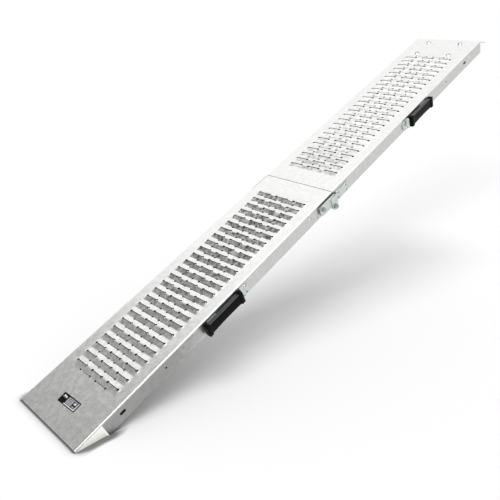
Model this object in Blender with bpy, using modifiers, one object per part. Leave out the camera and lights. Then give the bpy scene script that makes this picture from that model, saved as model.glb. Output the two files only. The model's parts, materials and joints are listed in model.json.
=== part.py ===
"""Folding loading ramp: two pressed steel planks hinged at mid length, opened and propped up.

Metres, +Z up.  The ramp rises along +X, its width is along Y, and the cut ends of the
lower plank's flanges stand on z = 0.  The carrying handles are on the -Y side.

Everything is laid out in the ramp's own frame first: x runs up the slope from the seam
between the two planks, y across, z up from the top of the sheet.  A tilted empty then
carries the lower plank, and a second empty on the fold axis carries the upper one.
"""

import math

import bmesh
import bpy
from mathutils import Vector

# ---------------------------------------------------------------- driving dimensions
INCLINE = math.radians(27.5)
WIDTH = 0.260
PLANK = 0.980            # length of one plank
FLANGE = 0.044           # height of the folded-down sides
SHEET = 0.002
BEND = 0.004             # outer bend radius between deck and side
BEND_STEPS = 3
TIP = 0.0045             # what is left of the side at the low end, bend included
SEAM = 0.0010            # gap between the two decks when open
GAP = 0.0003             # air between pieces that touch

# tread: rows of three slots on raised ridges, rows of two slots in the valleys
ROWS = 25
ROW_PITCH = 0.0308
FIRST_ROW = 0.083        # first ridge, measured from the seam
RIDGE = 0.003
SLOT_LONG = 0.049
SLOT_WIDE = 0.0032
SLOT_PITCH = 0.0685
SHOULDER = 0.004         # width over which a ridge runs out at its ends

# oval slot and round hole through the sides, as distance from the seam and depth
SIDE_SLOT = (0.850, 0.021)
SIDE_SLOT_LONG = 0.016
SIDE_SLOT_R = 0.0035
SIDE_HOLE = (0.708, 0.021)
SIDE_HOLE_R = 0.0030
DRAIN_HOLE = (0.083, 0.0345)         # in the lower plank only, beside its hinge plate
DRAIN_HOLE_R = 0.0022

# fold hinge, on each side
PLATE = 0.0025
PIVOT = (-0.008, -0.0455)            # fold axis: x from the seam, z from the deck
LUG_R = 0.0125
LOWER_PLATE_OUT = 0.0049             # stand-off of the lower hinge plate from the side
LOWER_PLATE_END = 0.074
CLAMP = (-0.060, -0.021)             # bolt that clamps the lower hinge plate
UPPER_PLATE_END = 0.078
UPPER_STEP = (0.0155, 0.0070)        # where the upper plate steps out over the lower one
UPPER_RIVETS = [(0.021, -0.0155), (0.021, -0.035), (0.062, -0.0155), (0.062, -0.034)]
BACKING_RIVETS = [(-0.118, -0.015), (-0.106, -0.024), (-0.126, -0.030)]
BACKING_SPAN = (-0.140, -0.044)      # plate inside the lower side, behind the clamp bolt

# fasteners
BOLT_R = 0.004
HEAD_R = 0.0075                      # across corners, half
HEAD_HIGH = 0.0053
NUT_HIGH = 0.0065
SPACER_R = 0.0085
PIVOT_HEAD_R = 0.0074                # round, so that it clears the plank
RIVET_R = 0.0024
RIVET_HEAD_R = 0.0044
RIVET_HEAD_HIGH = 0.0022
SMALL_RIVET_HEAD_R = 0.0032

# lip at the top end
LIP_WIDTH = 0.250
LIP_UNDER = 0.140                    # length bolted under the deck
LIP_KNEE = 0.002                     # distance of the bend beyond the deck's end
LIP_REACH = 0.060                    # level length beyond the deck
LIP_BOLTS = [(0.860, 0.064), (0.860, -0.064), (0.950, 0.064), (0.950, -0.064)]

# carrying handles, as distance from the seam
FOOT = (0.402, 0.433)
GRIP = (0.437, 0.575)
STRAP_TURN = 0.556
HIDDEN_FOOT = 0.524
GRIP_BACK = 0.0050                   # stand-off of the grip's open back
GRIP_THICK = 0.0135
GRIP_DEPTH = (0.0055, 0.0385)
COLLAR = 0.013
COLLAR_PROUD = 0.0022
COLLAR_IN = 0.0020                   # how far a collar stands behind the grip's back
STRAP_DEPTH = (0.0105, 0.0335)
STRAP_OUT = 0.0085                   # stand-off of the strap's middle line
STRAP_RISE = 0.0045                  # length over which it steps out beside its foot
FOOT_RIVETS = [(0.411, 0.0135), (0.411, 0.0345), (0.4245, 0.0375)]
HIDDEN_RIVETS = [(0.533, 0.0165), (0.533, 0.0275)]
HIDDEN_CUT = 0.0045                  # its holes stop short of the strap's outer run

# sticker on the low end
LABEL_SIZE = (0.026, 0.070, 0.0004)
LABEL_AT = (-0.912, -0.0025)

ROUND = 12                           # sides of a bolt shank or a drilled hole
RIVET_ROUND = 8
THREAD_PAST = 0.0015                 # bolt that shows past its nut
PAST = 0.01                          # how far a cutter reaches past the surface it cuts
REACH = 0.03                         # the same for the cutters of folded plates
UNCUT = (-0.08, 0.01)                # heights of a folded plate before its outline is cut

GALVANISED = ((0.40, 0.41, 0.41), 0.42, 0.90)
ZINC_PLATE = ((0.46, 0.50, 0.49), 0.32, 0.95)
ZINC_BOLT = ((0.50, 0.53, 0.54), 0.30, 0.95)
BLACK_PLASTIC = ((0.012, 0.012, 0.013), 0.45, 0.0)
STICKER = ((0.03, 0.03, 0.03), 0.50, 0.0)


# ---------------------------------------------------------------- scene helpers
def clear_scene():
    for thing in list(bpy.data.objects):
        bpy.data.objects.remove(thing)


def collection(name):
    group = bpy.data.collections.new(name)
    bpy.context.scene.collection.children.link(group)
    return group


def material(name, look):
    colour, roughness, metallic = look
    made = bpy.data.materials.new(name)
    made.use_nodes = True
    shader = made.node_tree.nodes["Principled BSDF"]
    shader.inputs["Base Color"].default_value = (*colour, 1.0)
    shader.inputs["Roughness"].default_value = roughness
    shader.inputs["Metallic"].default_value = metallic
    return made


def face_outwards(bm):
    """Turns the faces of one closed body outwards."""
    bmesh.ops.recalc_face_normals(bm, faces=bm.faces[:])
    if bm.calc_volume(signed=True) < 0:
        bmesh.ops.reverse_faces(bm, faces=bm.faces[:])


def mesh_from(bm, name):
    data = bpy.data.meshes.new(name)
    bm.to_mesh(data)
    bm.free()
    return data


class Half:
    """One plank's empty; attach() places pieces given in the ramp's frame under it."""

    def __init__(self, name, at, parent=None):
        self.at = Vector(at)
        self.empty = bpy.data.objects.new(name, None)
        self.empty.empty_display_size = 0.05
        PARTS.objects.link(self.empty)
        if parent is not None:
            self.empty.parent = parent.empty
            self.empty.location = self.at - parent.at

    def attach(self, name, data, look, at=(0, 0, 0), turn=(0, 0, 0)):
        piece = bpy.data.objects.new(name, data)
        piece.parent = self.empty
        piece.location = Vector(at) - self.at
        piece.rotation_euler = turn
        if not data.materials:
            data.materials.append(material(name, look))
        PARTS.objects.link(piece)
        return piece


def cutter(name, data, host):
    """A hidden cutter that shares its host's place."""
    tool = bpy.data.objects.new(name, data)
    tool.parent = host.parent
    tool.location = host.location
    tool.rotation_euler = host.rotation_euler
    tool.hide_render = True
    tool.display_type = "WIRE"
    CUTTERS.objects.link(tool)
    return tool


def boolean(host, tool, operation="DIFFERENCE"):
    cut = host.modifiers.new(tool.name, "BOOLEAN")
    cut.operation = operation
    cut.solver = "EXACT"
    cut.object = tool
    return cut


def solidify(host, thickness, offset):
    shell = host.modifiers.new("thickness", "SOLIDIFY")
    shell.thickness = thickness
    shell.offset = offset
    shell.use_even_offset = True
    return shell


# ---------------------------------------------------------------- shape helpers
def ring(bm, z, radius, sides, hexagonal):
    """A ring of points round z; a hexagonal one has its corners and edge middles."""
    made = []
    for i in range(sides):
        angle = 2 * math.pi * i / sides
        flat = math.cos(math.pi / 6) if hexagonal and i % 2 else 1.0
        made.append(bm.verts.new((radius * flat * math.cos(angle), radius * flat * math.sin(angle), z)))
    return made


def ring_stack(bm, rings, sides=ROUND, hollow=False):
    """Joins rings of (z, radius, hexagonal or not); capped at its ends, or closed if hollow."""
    loops = [ring(bm, z, radius, sides, hexagonal) for z, radius, hexagonal in rings]
    pairs = list(zip(loops, loops[1:]))
    if hollow:
        pairs.append((loops[-1], loops[0]))
    else:
        bm.faces.new(loops[0])
        bm.faces.new(loops[-1])
    for first, second in pairs:
        for i in range(sides):
            j = (i + 1) % sides
            bm.faces.new((first[i], first[j], second[j], second[i]))
    face_outwards(bm)


def bolt_mesh(name, length):
    """Hex head above z = 0, shank below it."""
    bm = bmesh.new()
    ring_stack(bm, [
        (HEAD_HIGH, HEAD_R * 0.86, True),
        (HEAD_HIGH * 0.85, HEAD_R, True),
        (0, HEAD_R, True),
        (0, BOLT_R, False),
        (-length + 0.001, BOLT_R, False),
        (-length, BOLT_R * 0.75, False),
    ])
    return mesh_from(bm, name)


def nut_mesh(name):
    """Hex nut standing on z = 0, bored clear of the shank."""
    bm = bmesh.new()
    bore = BOLT_R + GAP
    ring_stack(bm, [
        (0, HEAD_R, True),
        (NUT_HIGH * 0.85, HEAD_R, True),
        (NUT_HIGH, HEAD_R * 0.87, True),
        (NUT_HIGH, bore, False),
        (0, bore, False),
    ], hollow=True)
    return mesh_from(bm, name)


def washer_mesh(name, radius, thickness):
    bm = bmesh.new()
    bore = BOLT_R + GAP
    ring_stack(bm, [
        (0, radius, False),
        (thickness, radius, False),
        (thickness, bore, False),
        (0, bore, False),
    ], hollow=True)
    return mesh_from(bm, name)


def rivet_mesh(name, head_r, grip):
    """Domed head above z = 0, shank through the grip length, flat closed end below it."""
    bm = bmesh.new()
    ring_stack(bm, [
        (RIVET_HEAD_HIGH, head_r * 0.55, False),
        (0, head_r, False),
        (0, RIVET_R, False),
        (-grip, RIVET_R, False),
        (-grip, head_r * 0.85, False),
        (-grip - 0.0012, head_r * 0.70, False),
    ], sides=RIVET_ROUND)
    return mesh_from(bm, name)


def prism(bm, outline, y_from, y_to):
    """Solid between two y planes with an outline given in (x, z)."""
    base = bm.faces.new([bm.verts.new((x, y_from, z)) for x, z in outline])
    made = bmesh.ops.extrude_face_region(bm, geom=[base])["geom"]
    tops = [v for v in made if isinstance(v, bmesh.types.BMVert)]
    bmesh.ops.translate(bm, verts=tops, vec=(0, y_to - y_from, 0))
    face_outwards(bm)


def arc(centre, radius, start, end, steps):
    """Points of an arc in (x, z), angles in degrees."""
    angles = [math.radians(start + (end - start) * i / steps) for i in range(steps + 1)]
    return [(centre[0] + radius * math.cos(a), centre[1] + radius * math.sin(a)) for a in angles]


def drill(bm, x, z, radius, y_from, y_to, sides=ROUND, stretch=0.0):
    """A round or oval cutter along y."""
    made = bmesh.ops.create_cone(bm, cap_ends=True, segments=sides, radius1=radius,
                                 radius2=radius, depth=y_to - y_from)["verts"]
    for v in made:
        v.co.x += math.copysign(stretch / 2, v.co.x) if abs(v.co.x) > 1e-6 else 0.0
        v.co = Vector((v.co.x + x, (y_from + y_to) / 2 - v.co.z, z + v.co.y))


def drill_down(bm, x, y, radius, z_from, z_to):
    """A round cutter along z."""
    made = bmesh.ops.create_cone(bm, cap_ends=True, segments=ROUND, radius1=radius,
                                 radius2=radius, depth=z_to - z_from)["verts"]
    bmesh.ops.translate(bm, verts=made, vec=(x, y, (z_from + z_to) / 2))


def box(bm, low, high):
    """An axis-aligned box between two corners."""
    made = bmesh.ops.create_cube(bm, size=1.0)["verts"]
    for v in made:
        v.co = Vector(low[i] if v.co[i] < 0 else high[i] for i in range(3))


def folded_band(name, path, z_from, z_to):
    """Open sheet that follows a path in (x, y), between two heights; Solidify thickens it."""
    bm = bmesh.new()
    low = [bm.verts.new((x, y, z_from)) for x, y in path]
    line = [bm.edges.new(pair) for pair in zip(low, low[1:])]
    made = bmesh.ops.extrude_edge_only(bm, edges=line)["geom"]
    tops = [v for v in made if isinstance(v, bmesh.types.BMVert)]
    bmesh.ops.translate(bm, verts=tops, vec=(0, 0, z_to - z_from))
    return mesh_from(bm, name)


def across(side):
    """Turn that points a fastener's z axis out of the given side."""
    return (-side * math.pi / 2, 0, 0)


# ---------------------------------------------------------------- the two planks
def slot_spans(count):
    """Across spans of the slots in a row of two or three."""
    middles = [(i - (count - 1) / 2) * SLOT_PITCH for i in range(count)]
    return [(m - SLOT_LONG / 2, m + SLOT_LONG / 2) for m in middles]


def length_stations(tapered):
    """(distance from the seam, ridge height, slot spans up to the next station)."""
    stations = [(SEAM / 2, 0.0, []), (FIRST_ROW - ROW_PITCH / 2 + SLOT_WIDE / 2, 0.0, [])]
    for row in range(ROWS):
        crest = FIRST_ROW + row * ROW_PITCH
        valley = crest + ROW_PITCH / 2
        stations.append((crest - SLOT_WIDE / 2, RIDGE, slot_spans(3)))
        stations.append((crest + SLOT_WIDE / 2, RIDGE, []))
        stations.append((valley - SLOT_WIDE / 2, 0.0, slot_spans(2)))
        stations.append((valley + SLOT_WIDE / 2, 0.0, []))
    if tapered:
        stations.append((PLANK - (FLANGE - TIP) / math.tan(INCLINE), 0.0, []))
    stations.append((PLANK, 0.0, []))
    return stations


def section_stations():
    """Cross-section from one side's foot to the other's: (y, z, share of the ridge height)."""
    edges = sorted({y for count in (2, 3) for span in slot_spans(count) for y in span})
    shoulder = edges[-1] + SHOULDER
    ridge = [(-shoulder, 0.0, 0.0), *[(y, 0.0, 1.0) for y in edges], (shoulder, 0.0, 0.0)]
    centre = WIDTH / 2 - BEND
    turns = [math.pi / 2 * i / BEND_STEPS for i in range(BEND_STEPS + 1)]
    left = [(centre + BEND * math.sin(a), -BEND + BEND * math.cos(a), 0.0) for a in turns]
    left.append((WIDTH / 2, -FLANGE, 0.0))
    right = [(-y, z, share) for y, z, share in reversed(left)]
    return right + ridge + left


def plank_mesh(name, direction):
    """Outer skin of a plank; direction is +1 up the slope from the seam, -1 down it."""
    tapered = direction < 0
    along = length_stations(tapered)
    section = section_stations()
    bm = bmesh.new()
    bmesh.ops.create_grid(bm, x_segments=len(along) - 1, y_segments=len(section) - 1, size=0.5)
    columns = sorted({round(v.co.x, 6) for v in bm.verts})
    lines = sorted({round(v.co.y, 6) for v in bm.verts})
    place = {}
    for v in bm.verts:
        place[v] = (columns.index(round(v.co.x, 6)), lines.index(round(v.co.y, 6)))
    slots = []
    for face in bm.faces:
        i = min(place[v][0] for v in face.verts)
        j = min(place[v][1] for v in face.verts)
        middle = (section[j][0] + section[j + 1][0]) / 2
        if any(low < middle < high for low, high in along[i][2]):
            slots.append(face)
    for v, (i, j) in place.items():
        distance, ridge, _ = along[i]
        y, z, share = section[j]
        if z == -FLANGE and tapered:
            z = -min(FLANGE, TIP + (PLANK - distance) * math.tan(INCLINE))
        v.co = Vector((direction * distance, y, z + ridge * share))
    bmesh.ops.delete(bm, geom=slots, context="FACES")
    bmesh.ops.dissolve_limit(bm, angle_limit=math.radians(0.5), verts=bm.verts[:], edges=bm.edges[:])
    bmesh.ops.triangulate(bm, faces=bm.faces[:])
    bm.normal_update()
    deck_face = max(bm.faces, key=lambda f: abs(f.normal.z) * f.calc_area())
    if deck_face.normal.z < 0:
        bmesh.ops.reverse_faces(bm, faces=bm.faces[:])
    return mesh_from(bm, name)


def drill_sides(bm, spots, radius, sides=ROUND, flanks=(-1, 1), stretch=0.0):
    """The same holes, given as (x, z), through the planks' right and left sides."""
    for flank in flanks:
        near, far = sorted((flank * (WIDTH / 2 - PAST), flank * (WIDTH / 2 + PAST)))
        for x, z in spots:
            drill(bm, x, z, radius, near, far, sides, stretch)


def handle_spots(direction):
    return [(direction * s, -depth) for s, depth in FOOT_RIVETS + HIDDEN_RIVETS]


def make_plank(name, half, direction):
    plank = half.attach(name, plank_mesh(name, direction), GALVANISED)
    solidify(plank, SHEET, -1)
    bm = bmesh.new()
    drill_sides(bm, [(direction * SIDE_SLOT[0], -SIDE_SLOT[1])], SIDE_SLOT_R,
                stretch=SIDE_SLOT_LONG - 2 * SIDE_SLOT_R)
    drill_sides(bm, [(direction * SIDE_HOLE[0], -SIDE_HOLE[1])], SIDE_HOLE_R)
    drill_sides(bm, handle_spots(direction), RIVET_R + GAP, RIVET_ROUND, flanks=(-1,))
    if direction < 0:
        drill_sides(bm, [(-DRAIN_HOLE[0], -DRAIN_HOLE[1])], DRAIN_HOLE_R)
        drill_sides(bm, [CLAMP], BOLT_R + GAP)
        drill_sides(bm, BACKING_RIVETS, RIVET_R + GAP, RIVET_ROUND)
    else:
        drill_sides(bm, UPPER_RIVETS, RIVET_R + GAP, RIVET_ROUND)
        for x, y in LIP_BOLTS:
            drill_down(bm, x, y, BOLT_R + GAP, -PAST, PAST)
    boolean(plank, cutter(name + "_holes", mesh_from(bm, name + "_holes"), plank))


# ---------------------------------------------------------------- lip
def make_lip(half):
    """Plate bolted under the deck's top end, bent level beyond it."""
    top = -SHEET - GAP
    middle = top - PLATE / 2
    knee = PLANK + LIP_KNEE
    end = (knee + LIP_REACH * math.cos(INCLINE), middle - LIP_REACH * math.sin(INCLINE))
    path = [(PLANK - LIP_UNDER, middle), (knee, middle), end]
    bm = bmesh.new()
    near = [bm.verts.new((x, -LIP_WIDTH / 2, z)) for x, z in path]
    line = [bm.edges.new(pair) for pair in zip(near, near[1:])]
    made = bmesh.ops.extrude_edge_only(bm, edges=line)["geom"]
    far = [v for v in made if isinstance(v, bmesh.types.BMVert)]
    bmesh.ops.translate(bm, verts=far, vec=(0, LIP_WIDTH, 0))
    lip = half.attach("lip_plate", mesh_from(bm, "lip_plate"), ZINC_PLATE)
    solidify(lip, PLATE, 0)
    bm = bmesh.new()
    for x, y in LIP_BOLTS:
        drill_down(bm, x, y, BOLT_R + GAP, top - PLATE - PAST, top + PAST)
    boolean(lip, cutter("lip_plate_holes", mesh_from(bm, "lip_plate_holes"), lip))

    bolt = bolt_mesh("lip_bolt", SHEET + PLATE + 3 * GAP + NUT_HIGH + THREAD_PAST)
    nut = nut_mesh("lip_nut")
    for number, (x, y) in enumerate(LIP_BOLTS, 1):
        half.attach(f"lip_bolt_{number}", bolt, ZINC_BOLT, at=(x, y, GAP))
        half.attach(f"lip_nut_{number}", nut, ZINC_BOLT, at=(x, y, top - PLATE - GAP),
                    turn=(math.pi, 0, 0))


# ---------------------------------------------------------------- hinge
def upper_plate_outline():
    """In (x, z): riveted strap, with a lug that comes down round the fold axis."""
    right = PIVOT[0] + LUG_R
    lug = arc(PIVOT, LUG_R, 0, -180, 10)
    return [
        (UPPER_PLATE_END - 0.003, -0.0105), (UPPER_PLATE_END, -0.0135),
        (UPPER_PLATE_END, -0.0365), (UPPER_PLATE_END - 0.006, -0.0420),
        (right + 0.006, -0.0420), (right, -0.0435), *lug,
        (PIVOT[0] - LUG_R, -0.0135), (PIVOT[0] - LUG_R + 0.003, -0.0105),
    ]


def lower_plate_outline():
    """In (x, z): from the rounded end at the clamp bolt to the lug round the fold axis."""
    corner = 0.010
    top, foot = -0.0060, -0.0405
    low_end = [(-LOWER_PLATE_END + corner, foot + corner), (-LOWER_PLATE_END + corner, top - corner)]
    return [
        (PIVOT[0] + LUG_R - 0.004, top), (PIVOT[0] + LUG_R - 0.001, top - 0.003),
        *arc(PIVOT, LUG_R - 0.001, 0, -135, 8),
        (PIVOT[0] - LUG_R - 0.006, foot),
        *arc(low_end[0], corner, 270, 180, 4), *arc(low_end[1], corner, 180, 90, 4),
    ]


def make_hinge(side, lower, upper):
    tag = "left" if side > 0 else "right"
    face = WIDTH / 2

    # lower plate, stood off the side so that the upper plate's rivets pass behind it
    inner = face + LOWER_PLATE_OUT + GAP
    name = f"lower_hinge_plate_{tag}"
    bm = bmesh.new()
    prism(bm, lower_plate_outline(), side * inner, side * (inner + PLATE))
    plate = lower.attach(name, mesh_from(bm, name), ZINC_PLATE)
    bm = bmesh.new()
    for x, z in (PIVOT, CLAMP):
        drill(bm, x, z, BOLT_R + GAP, *sorted((side * (inner - PAST), side * (inner + PAST))))
    boolean(plate, cutter(name + "_holes", mesh_from(bm, name + "_holes"), plate))

    # upper plate, riveted flat on the side and stepped out over the lower plate
    flush = face + GAP + PLATE / 2
    outer = inner + PLATE + GAP + PLATE / 2
    path = [(UPPER_PLATE_END + PAST, side * flush), (UPPER_STEP[0], side * flush),
            (UPPER_STEP[1], side * outer), (PIVOT[0] - LUG_R - PAST, side * outer)]
    name = f"upper_hinge_plate_{tag}"
    plate = upper.attach(name, folded_band(name, path, *UNCUT), ZINC_PLATE)
    solidify(plate, PLATE, 0)
    bm = bmesh.new()
    prism(bm, upper_plate_outline(), side * (face - PAST), side * (face + REACH))
    outline = cutter(name + "_outline", mesh_from(bm, name + "_outline"), plate)
    boolean(plate, outline, "INTERSECT")
    bm = bmesh.new()
    drill(bm, *PIVOT, BOLT_R + GAP, *sorted((side * (face - PAST), side * (face + REACH))))
    for x, z in UPPER_RIVETS:
        drill(bm, x, z, RIVET_R + GAP, *sorted((side * (face - PAST), side * (face + PAST))), RIVET_ROUND)
    boolean(plate, cutter(name + "_holes", mesh_from(bm, name + "_holes"), plate))

    # pivot bolt: its head sits between the lower plate and the side, its nut outside
    stack = 2 * PLATE + 3 * GAP
    bolt = pivot_bolt_mesh(f"pivot_bolt_{tag}", stack + NUT_HIGH + THREAD_PAST)
    at = (PIVOT[0], side * (inner - GAP), PIVOT[1])
    lower.attach(f"pivot_bolt_{tag}", bolt, ZINC_BOLT, at=at, turn=across(-side))
    at = (PIVOT[0], side * (inner - GAP + stack + GAP), PIVOT[1])
    lower.attach(f"pivot_nut_{tag}", nut_mesh(f"pivot_nut_{tag}"), ZINC_BOLT, at=at, turn=across(side))

    # clamp bolt with its spacer, backing plate and nut
    at = (CLAMP[0], side * (inner + PLATE + GAP), CLAMP[1])
    through = PLATE + LOWER_PLATE_OUT + SHEET + PLATE + 4 * GAP
    bolt = bolt_mesh(f"clamp_bolt_{tag}", through + NUT_HIGH + THREAD_PAST)
    lower.attach(f"clamp_bolt_{tag}", bolt, ZINC_BOLT, at=at, turn=across(side))
    at = (CLAMP[0], side * (face + GAP), CLAMP[1])
    spacer = washer_mesh(f"hinge_spacer_{tag}", SPACER_R, LOWER_PLATE_OUT - GAP)
    lower.attach(f"hinge_spacer_{tag}", spacer, ZINC_BOLT, at=at, turn=across(side))
    back = face - SHEET - GAP
    name = f"hinge_backing_plate_{tag}"
    bm = bmesh.new()
    x0, x1 = BACKING_SPAN
    prism(bm, [(x0, -0.008), (x1, -0.008), (x1, -0.040), (x0, -0.040)],
          side * (back - PLATE), side * back)
    plate = lower.attach(name, mesh_from(bm, name), ZINC_PLATE)
    bm = bmesh.new()
    span = sorted((side * (back - PLATE - PAST), side * (back + PAST)))
    drill(bm, *CLAMP, BOLT_R + GAP, *span)
    for x, z in BACKING_RIVETS:
        drill(bm, x, z, RIVET_R + GAP, *span, RIVET_ROUND)
    boolean(plate, cutter(name + "_holes", mesh_from(bm, name + "_holes"), plate))
    at = (CLAMP[0], side * (back - PLATE - GAP), CLAMP[1])
    lower.attach(f"clamp_nut_{tag}", nut_mesh(f"clamp_nut_{tag}"), ZINC_BOLT, at=at, turn=across(-side))

    # rivets of the upper plate and of the backing plate
    rivet = rivet_mesh(f"hinge_rivet_{tag}", RIVET_HEAD_R, PLATE + SHEET + 3 * GAP)
    for number, (x, z) in enumerate(UPPER_RIVETS, 1):
        at = (x, side * (face + GAP + PLATE + GAP), z)
        upper.attach(f"hinge_rivet_{tag}_{number}", rivet, ZINC_BOLT, at=at, turn=across(side))
    rivet = rivet_mesh(f"backing_rivet_{tag}", SMALL_RIVET_HEAD_R, PLATE + SHEET + 3 * GAP)
    for number, (x, z) in enumerate(BACKING_RIVETS, 1):
        at = (x, side * (face + GAP), z)
        lower.attach(f"backing_rivet_{tag}_{number}", rivet, ZINC_BOLT, at=at, turn=across(side))


def pivot_bolt_mesh(name, length):
    """Thin round head above z = 0, so that it fits in the gap beside the plank."""
    bm = bmesh.new()
    head = LOWER_PLATE_OUT - 3 * GAP
    ring_stack(bm, [
        (head, PIVOT_HEAD_R * 0.84, False),
        (head * 0.8, PIVOT_HEAD_R, False),
        (0, PIVOT_HEAD_R, False),
        (0, BOLT_R, False),
        (-length + 0.001, BOLT_R, False),
        (-length, BOLT_R * 0.75, False),
    ])
    return mesh_from(bm, name)


# ---------------------------------------------------------------- handles
def strap_outline(direction):
    """In (x, z): wide foot with cut corners at the seam end, narrow strap beyond it."""
    top, foot = -0.0060, -0.0425
    high, low = -STRAP_DEPTH[0], -STRAP_DEPTH[1]
    points = [
        (FOOT[0] + 0.010, top), (FOOT[1], top), (FOOT[1], high),
        (STRAP_TURN + 0.02, high), (STRAP_TURN + 0.02, low), (FOOT[1], low),
        (FOOT[1], foot), (FOOT[0] + 0.012, foot), (FOOT[0], foot + 0.009), (FOOT[0], top - 0.009),
    ]
    return [(direction * x, z) for x, z in points]


def make_handle(half, direction):
    tag = "upper" if direction > 0 else "lower"
    face = WIDTH / 2
    flush = face + GAP + PLATE / 2
    out = face + STRAP_OUT
    path = [(FOOT[0] - PAST, flush), (FOOT[1] - STRAP_RISE, flush), (FOOT[1], out),
            (STRAP_TURN, out), (STRAP_TURN, flush), (HIDDEN_FOOT, flush)]
    name = f"{tag}_handle_strap"
    data = folded_band(name, [(direction * x, -y) for x, y in path], *UNCUT)
    strap = half.attach(name, data, ZINC_PLATE)
    solidify(strap, PLATE, 0)
    bm = bmesh.new()
    prism(bm, strap_outline(direction), -face - REACH, -face + PAST)
    boolean(strap, cutter(name + "_outline", mesh_from(bm, name + "_outline"), strap), "INTERSECT")
    bm = bmesh.new()
    for x, z in handle_spots(direction):
        drill(bm, x, z, RIVET_R + GAP, -face - HIDDEN_CUT, -face + PAST, RIVET_ROUND)
    boolean(strap, cutter(name + "_holes", mesh_from(bm, name + "_holes"), strap))

    # grip: a bar with a collar at each end, its back hollowed out for the strap
    name = f"{tag}_handle_grip"
    back, front = -face - GRIP_BACK, -face - GRIP_BACK - GRIP_THICK
    low, high = -GRIP_DEPTH[1], -GRIP_DEPTH[0]
    bm = bmesh.new()
    box_along(bm, direction, (GRIP[0] + 0.001, GRIP[1] - 0.001), (front, back), (low, high))
    bmesh.ops.bevel(bm, geom=bm.edges[:], offset=0.0025, segments=2, profile=0.6, affect="EDGES")
    grip = half.attach(name, mesh_from(bm, name), BLACK_PLASTIC)
    bm = bmesh.new()
    for start in (GRIP[0], GRIP[1] - COLLAR):
        box_along(bm, direction, (start, start + COLLAR), (front - COLLAR_PROUD, back + COLLAR_IN),
                  (low - COLLAR_PROUD, high + COLLAR_PROUD))
    bmesh.ops.bevel(bm, geom=bm.edges[:], offset=0.0018, segments=1, affect="EDGES")
    collars = cutter(name + "_collars", mesh_from(bm, name + "_collars"), grip)
    boolean(grip, collars, "UNION")
    bm = bmesh.new()
    room = GAP * 1.5
    box_along(bm, direction, (GRIP[0] - PAST, STRAP_TURN + PLATE / 2 + room),
              (-face - STRAP_OUT - PLATE / 2 - room, back + PAST),
              (-STRAP_DEPTH[1] - room, -STRAP_DEPTH[0] + room))
    boolean(grip, cutter(name + "_pocket", mesh_from(bm, name + "_pocket"), grip))

    rivet = rivet_mesh(f"{tag}_handle_rivet", RIVET_HEAD_R * 0.82, PLATE + SHEET + 3 * GAP)
    for number, (x, z) in enumerate(handle_spots(direction), 1):
        at = (x, -(face + GAP + PLATE + GAP), z)
        half.attach(f"{tag}_handle_rivet_{number}", rivet, ZINC_BOLT, at=at, turn=across(-1))


def box_along(bm, direction, span, y_span, z_span):
    """A box whose x span is counted from the seam, up or down the slope."""
    x0, x1 = sorted((direction * span[0], direction * span[1]))
    box(bm, (x0, y_span[0], z_span[0]), (x1, y_span[1], z_span[1]))


# ---------------------------------------------------------------- label
def make_label(half):
    bm = bmesh.new()
    box(bm, [-size / 2 for size in LABEL_SIZE], [size / 2 for size in LABEL_SIZE])
    at = (LABEL_AT[0], LABEL_AT[1], GAP + LABEL_SIZE[2] / 2)
    half.attach("label", mesh_from(bm, "label"), STICKER, at=at)


# ---------------------------------------------------------------- assembly
def build():
    lower = Half("lower_half", (0, 0, 0))
    upper = Half("fold_axis", (PIVOT[0], 0, PIVOT[1]), parent=lower)

    make_plank("lower_deck", lower, -1)
    make_plank("upper_deck", upper, 1)
    make_lip(upper)
    for side in (-1, 1):
        make_hinge(side, lower, upper)
    make_handle(lower, -1)
    make_handle(upper, 1)
    make_label(lower)

    # prop the ramp up: the cut ends of the lower sides lie level on z = 0
    lift = PLANK * math.sin(INCLINE) + TIP * math.cos(INCLINE)
    handle_reach = GRIP_BACK + GRIP_THICK + COLLAR_PROUD
    hinge_reach = LOWER_PLATE_OUT + 2 * PLATE + 3 * GAP + NUT_HIGH + THREAD_PAST
    lip_drop = SHEET + GAP + PLATE / 2
    overhang = LIP_KNEE * math.cos(INCLINE) + lip_drop * math.sin(INCLINE) + LIP_REACH
    lower.empty.location = (-overhang / 2, (handle_reach - hinge_reach) / 2, lift)
    lower.empty.rotation_euler = (0, -INCLINE, 0)


clear_scene()
PARTS = collection("folding_loading_ramp")
CUTTERS = collection("cutters")
build()
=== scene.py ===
"""Folding loading ramp, opened and propped up in a plain white studio.

The pressed planks, the label and the handle grips are modelled here in full detail.  Each of
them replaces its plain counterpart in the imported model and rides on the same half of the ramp.
The ramp's own frame has x up the slope from the seam between the planks, y across, and z up
from the top of the sheet.
"""

import json
import math

import bmesh
import bpy
from mathutils import Matrix, Vector

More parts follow.
